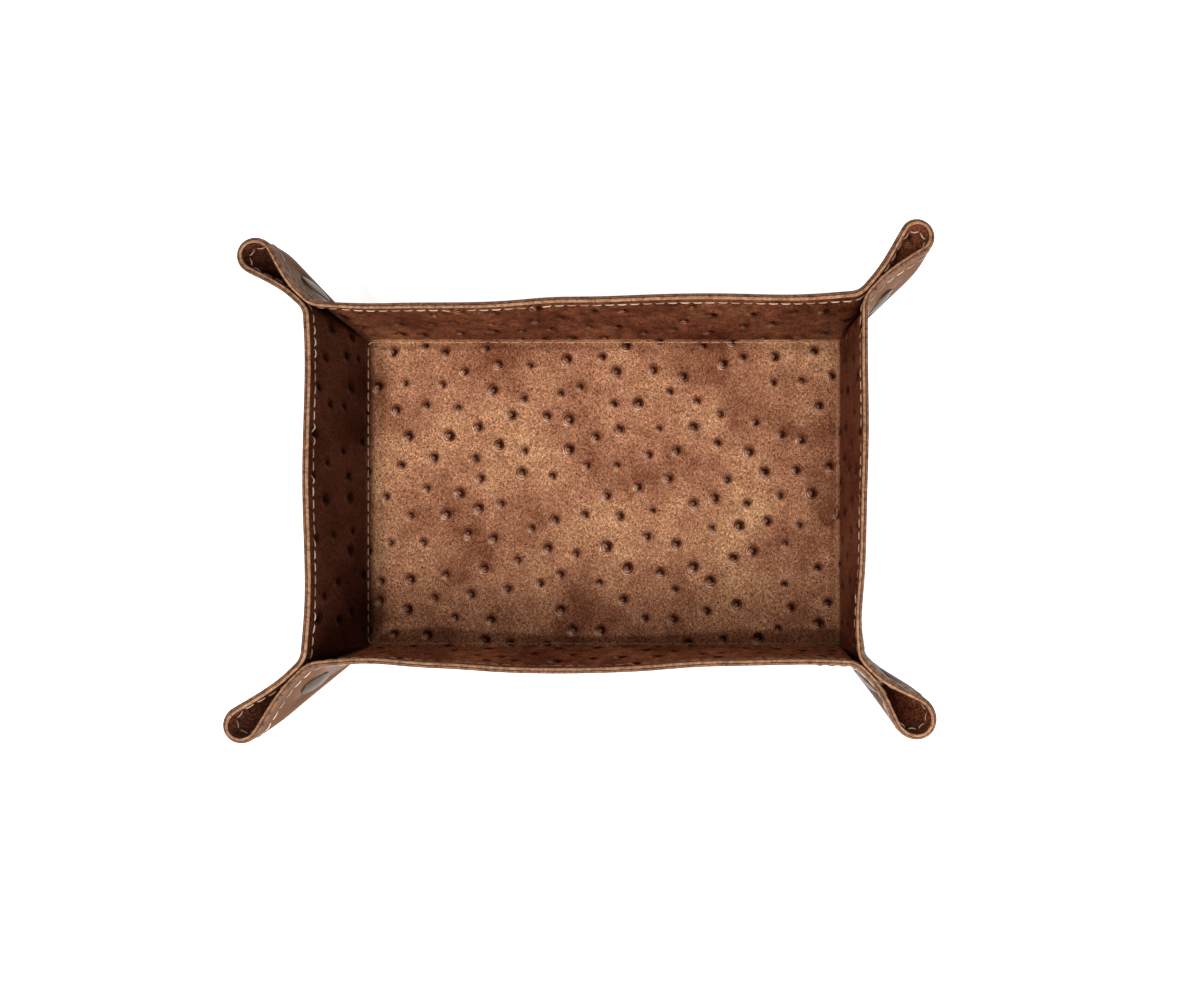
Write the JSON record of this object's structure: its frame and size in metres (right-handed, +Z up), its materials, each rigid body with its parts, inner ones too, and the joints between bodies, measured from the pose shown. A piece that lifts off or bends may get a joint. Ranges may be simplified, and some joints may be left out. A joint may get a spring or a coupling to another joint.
{
  "type": "valet tray",
  "caption": "Rectangular leather valet tray with a quill-embossed lining. Snaps pinch its corners into loops, and it folds out flat.",
  "frame": {"origin": "middle of the underside of the floor, on the surface that the tray stands on", "axes": "+X along the tray's length, +Y along its width towards the back wall, +Z up out of the tray"},
  "size_m": [0.2722, 0.1982, 0.041],
  "materials": {
    "outer_leather": "smooth, waxed",
    "lining_leather": "quill-embossed, waxed",
    "board": "matte sheet",
    "thread": "waxed thread",
    "snap_metal": "antiqued, dark"
  },
  "bodies": {
    "floor": {"outer_floor": "outer_leather", "lining_floor": "lining_leather", "base_stiffener": "board", "base_seam_thread": "thread"},
    "wall_right": {"outer_wall_right": "outer_leather", "lining_wall_right": "lining_leather", "rim_seam_right": "thread"},
    "wall_back": {"outer_wall_back": "outer_leather", "lining_wall_back": "lining_leather", "rim_seam_back": "thread"},
    "wall_left": {"outer_wall_left": "outer_leather", "lining_wall_left": "lining_leather", "rim_seam_left": "thread"},
    "wall_front": {"outer_wall_front": "outer_leather", "lining_wall_front": "lining_leather", "rim_seam_front": "thread"},
    "wing_front_left_long": {"outer_wing_front_left_long": "outer_leather", "lining_wing_front_left_long": "lining_leather", "snap_cap_front_left": "snap_metal", "snap_socket_front_left": "snap_metal"},
    "wing_front_left_short": {"outer_wing_front_left_short": "outer_leather", "lining_wing_front_left_short": "lining_leather", "snap_stud_front_left": "snap_metal", "snap_eyelet_front_left": "snap_metal"},
    "loop_front_left": {"outer_loop_front_left": "outer_leather", "lining_loop_front_left": "lining_leather"},
    "wing_front_right_long": {"outer_wing_front_right_long": "outer_leather", "lining_wing_front_right_long": "lining_leather", "snap_cap_front_right": "snap_metal", "snap_socket_front_right": "snap_metal"},
    "wing_front_right_short": {"outer_wing_front_right_short": "outer_leather", "lining_wing_front_right_short": "lining_leather", "snap_stud_front_right": "snap_metal", "snap_eyelet_front_right": "snap_metal"},
    "loop_front_right": {"outer_loop_front_right": "outer_leather", "lining_loop_front_right": "lining_leather"},
    "wing_back_left_long": {"outer_wing_back_left_long": "outer_leather", "lining_wing_back_left_long": "lining_leather", "snap_cap_back_left": "snap_metal", "snap_socket_back_left": "snap_metal"},
    "wing_back_left_short": {"outer_wing_back_left_short": "outer_leather", "lining_wing_back_left_short": "lining_leather", "snap_stud_back_left": "snap_metal", "snap_eyelet_back_left": "snap_metal"},
    "loop_back_left": {"outer_loop_back_left": "outer_leather", "lining_loop_back_left": "lining_leather"},
    "wing_back_right_long": {"outer_wing_back_right_long": "outer_leather", "lining_wing_back_right_long": "lining_leather", "snap_stud_back_right": "snap_metal", "snap_eyelet_back_right": "snap_metal"},
    "wing_back_right_short": {"outer_wing_back_right_short": "outer_leather", "lining_wing_back_right_short": "lining_leather", "snap_cap_back_right": "snap_metal", "snap_socket_back_right": "snap_metal"},
    "loop_back_right": {"outer_loop_back_right": "outer_leather", "lining_loop_back_right": "lining_leather"}
  },
  "joints": [
    {"name": "right_wall_fold", "type": "hinge", "parent": "floor", "child": "wall_right", "pos_m": [0.10803, 0, 0.00147], "axis": [0, 1, 0], "range_deg": [0, 90]},
    {"name": "back_wall_fold", "type": "hinge", "parent": "floor", "child": "wall_back", "pos_m": [0, 0.07103, 0.00147], "axis": [-1, 0, 0], "range_deg": [0, 90]},
    {"name": "left_wall_fold", "type": "hinge", "parent": "floor", "child": "wall_left", "pos_m": [-0.10803, 0, 0.00147], "axis": [0, -1, 0], "range_deg": [0, 90]},
    {"name": "front_wall_fold", "type": "hinge", "parent": "floor", "child": "wall_front", "pos_m": [0, -0.07103, 0.00147], "axis": [1, 0, 0], "range_deg": [0, 90]},
    {"name": "front_left_turn_fold", "type": "hinge", "parent": "wall_front", "child": "wing_front_left_long", "pos_m": [-0.10692, -0.07036, 0.006], "axis": [-0.0717, 0.0141, -0.9973], "range_deg": [0, 45]},
    {"name": "front_left_loop_fold_1", "type": "hinge", "parent": "wing_front_left_long", "child": "loop_front_left", "pos_m": [-0.10983, -0.07428, 0.006], "axis": [-0.4448, -0.5243, 0.7262], "range_deg": [0, 90], "deforming": ["outer_loop_front_left", "lining_loop_front_left"]},
    {"name": "front_left_loop_fold_2", "type": "hinge", "parent": "loop_front_left", "child": "wing_front_left_short", "pos_m": [-0.11128, -0.07283, 0.006], "axis": [-0.5243, -0.4448, 0.7262], "range_deg": [0, 90]},
    {"name": "front_right_turn_fold", "type": "hinge", "parent": "wall_front", "child": "wing_front_right_long", "pos_m": [0.10692, -0.07036, 0.006], "axis": [-0.0717, -0.0141, 0.9973], "range_deg": [0, 45]},
    {"name": "front_right_loop_fold_1", "type": "hinge", "parent": "wing_front_right_long", "child": "loop_front_right", "pos_m": [0.10983, -0.07428, 0.006], "axis": [-0.4299, 0.5197, -0.7384], "range_deg": [0, 90], "deforming": ["outer_loop_front_right", "lining_loop_front_right"]},
    {"name": "front_right_loop_fold_2", "type": "hinge", "parent": "loop_front_right", "child": "wing_front_right_short", "pos_m": [0.11128, -0.07283, 0.006], "axis": [-0.5197, 0.4299, -0.7384], "range_deg": [0, 90]},
    {"name": "back_left_turn_fold", "type": "hinge", "parent": "wall_back", "child": "wing_back_left_long", "pos_m": [-0.10692, 0.07036, 0.006], "axis": [0.0717, 0.0141, 0.9973], "range_deg": [0, 45]},
    {"name": "back_left_loop_fold_1", "type": "hinge", "parent": "wing_back_left_long", "child": "loop_back_left", "pos_m": [-0.10983, 0.07428, 0.006], "axis": [0.42, -0.4944, -0.761], "range_deg": [0, 90], "deforming": ["outer_loop_back_left", "lining_loop_back_left"]},
    {"name": "back_left_loop_fold_2", "type": "hinge", "parent": "loop_back_left", "child": "wing_back_left_short", "pos_m": [-0.11128, 0.07283, 0.006], "axis": [0.4944, -0.42, -0.761], "range_deg": [0, 90]},
    {"name": "back_right_turn_fold", "type": "hinge", "parent": "wall_back", "child": "wing_back_right_long", "pos_m": [0.10692, 0.07036, 0.006], "axis": [0.0717, -0.0141, -0.9973], "range_deg": [0, 45]},
    {"name": "back_right_loop_fold_1", "type": "hinge", "parent": "wing_back_right_long", "child": "loop_back_right", "pos_m": [0.10983, 0.07428, 0.006], "axis": [0.4425, 0.5144, 0.7346], "range_deg": [0, 90], "deforming": ["outer_loop_back_right", "lining_loop_back_right"]},
    {"name": "back_right_loop_fold_2", "type": "hinge", "parent": "loop_back_right", "child": "wing_back_right_short", "pos_m": [0.11128, 0.07283, 0.006], "axis": [0.5144, 0.4425, 0.7346], "range_deg": [0, 90]}
  ],
  "couplings": [
    {"joint": "right_wall_fold", "follows": "front_wall_fold", "ratio": 1},
    {"joint": "back_wall_fold", "follows": "front_wall_fold", "ratio": 1},
    {"joint": "left_wall_fold", "follows": "front_wall_fold", "ratio": 1},
    {"joint": "front_left_turn_fold", "follows": "front_wall_fold", "ratio": 0.5},
    {"joint": "front_left_loop_fold_1", "follows": "front_wall_fold", "ratio": 1},
    {"joint": "front_left_loop_fold_2", "follows": "front_wall_fold", "ratio": 1},
    {"joint": "front_right_turn_fold", "follows": "front_wall_fold", "ratio": 0.5},
    {"joint": "front_right_loop_fold_1", "follows": "front_wall_fold", "ratio": 1},
    {"joint": "front_right_loop_fold_2", "follows": "front_wall_fold", "ratio": 1},
    {"joint": "back_left_turn_fold", "follows": "front_wall_fold", "ratio": 0.5},
    {"joint": "back_left_loop_fold_1", "follows": "front_wall_fold", "ratio": 1},
    {"joint": "back_left_loop_fold_2", "follows": "front_wall_fold", "ratio": 1},
    {"joint": "back_right_turn_fold", "follows": "front_wall_fold", "ratio": 0.5},
    {"joint": "back_right_loop_fold_1", "follows": "front_wall_fold", "ratio": 1},
    {"joint": "back_right_loop_fold_2", "follows": "front_wall_fold", "ratio": 1}
  ]
}
